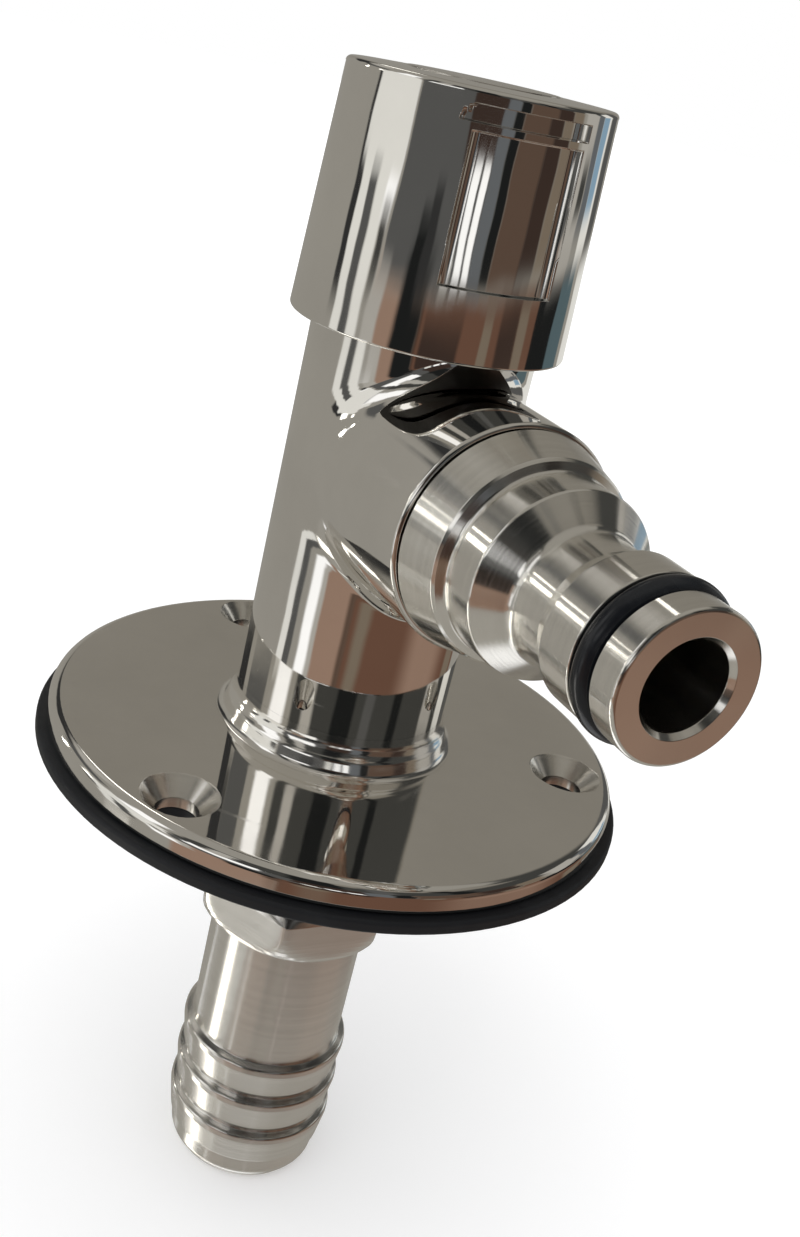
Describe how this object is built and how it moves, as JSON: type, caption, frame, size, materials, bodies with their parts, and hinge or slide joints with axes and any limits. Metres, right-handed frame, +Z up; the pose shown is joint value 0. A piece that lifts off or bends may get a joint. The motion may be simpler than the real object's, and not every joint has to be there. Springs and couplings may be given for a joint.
{
  "type": "deck spigot",
  "caption": "Deck-mounted stainless spigot with a round screw flange, a quarter-turn knob valve, a quick-connect side outlet and a barbed hose tail below.",
  "frame": {"origin": "centre of the gasket's underside, where the spigot stands on the deck", "axes": "+Z up along the stand pipe, -Y along the outlet"},
  "size_m": [0.0764, 0.0966, 0.1505],
  "materials": {
    "polished_pipe": "mirror polished stainless steel",
    "polished_flange": "mirror polished stainless steel",
    "weld_metal": "polished weld bead",
    "polished_knob": "mirror polished casting",
    "knob_cap_metal": "polished pressed cap",
    "turned_nozzle": "fine turned stainless steel",
    "turned_tail": "satin turned stainless steel",
    "gasket_rubber": "matte",
    "oring_rubber": "smooth",
    "fibre": "pressed fibre",
    "small_steel": "plain",
    "headwork_brass": "turned",
    "spindle_brass": "turned",
    "washer_plastic": "plain",
    "ceramic": "lapped ceramic"
  },
  "bodies": {
    "stand": {"body": "polished_pipe", "outlet_boss": "polished_pipe", "flange_plate": "polished_flange", "weld_bead": "weld_metal", "deck_gasket": "gasket_rubber", "hose_tail": "turned_tail", "hose_tail_washer": "fibre", "outlet_nozzle": "turned_nozzle", "nozzle_washer": "fibre", "nose_oring": "oring_rubber", "headwork_body": "headwork_brass", "headwork_washer": "fibre", "fixed_disc": "ceramic", "seat_seal": "oring_rubber"},
    "handle": {"knob": "polished_knob", "knob_cap": "knob_cap_metal", "knob_screw": "small_steel", "lock_washer": "small_steel", "knob_insert": "headwork_brass", "spindle": "spindle_brass", "spindle_orings": "oring_rubber", "spindle_clip": "small_steel", "thrust_washer": "washer_plastic", "moving_disc": "ceramic"}
  },
  "joints": [
    {"name": "knob_turn", "type": "hinge", "parent": "stand", "child": "handle", "pos_m": [0, 0, 0.07], "axis": [0, 0, 1], "range_deg": [0, 90]}
  ]
}
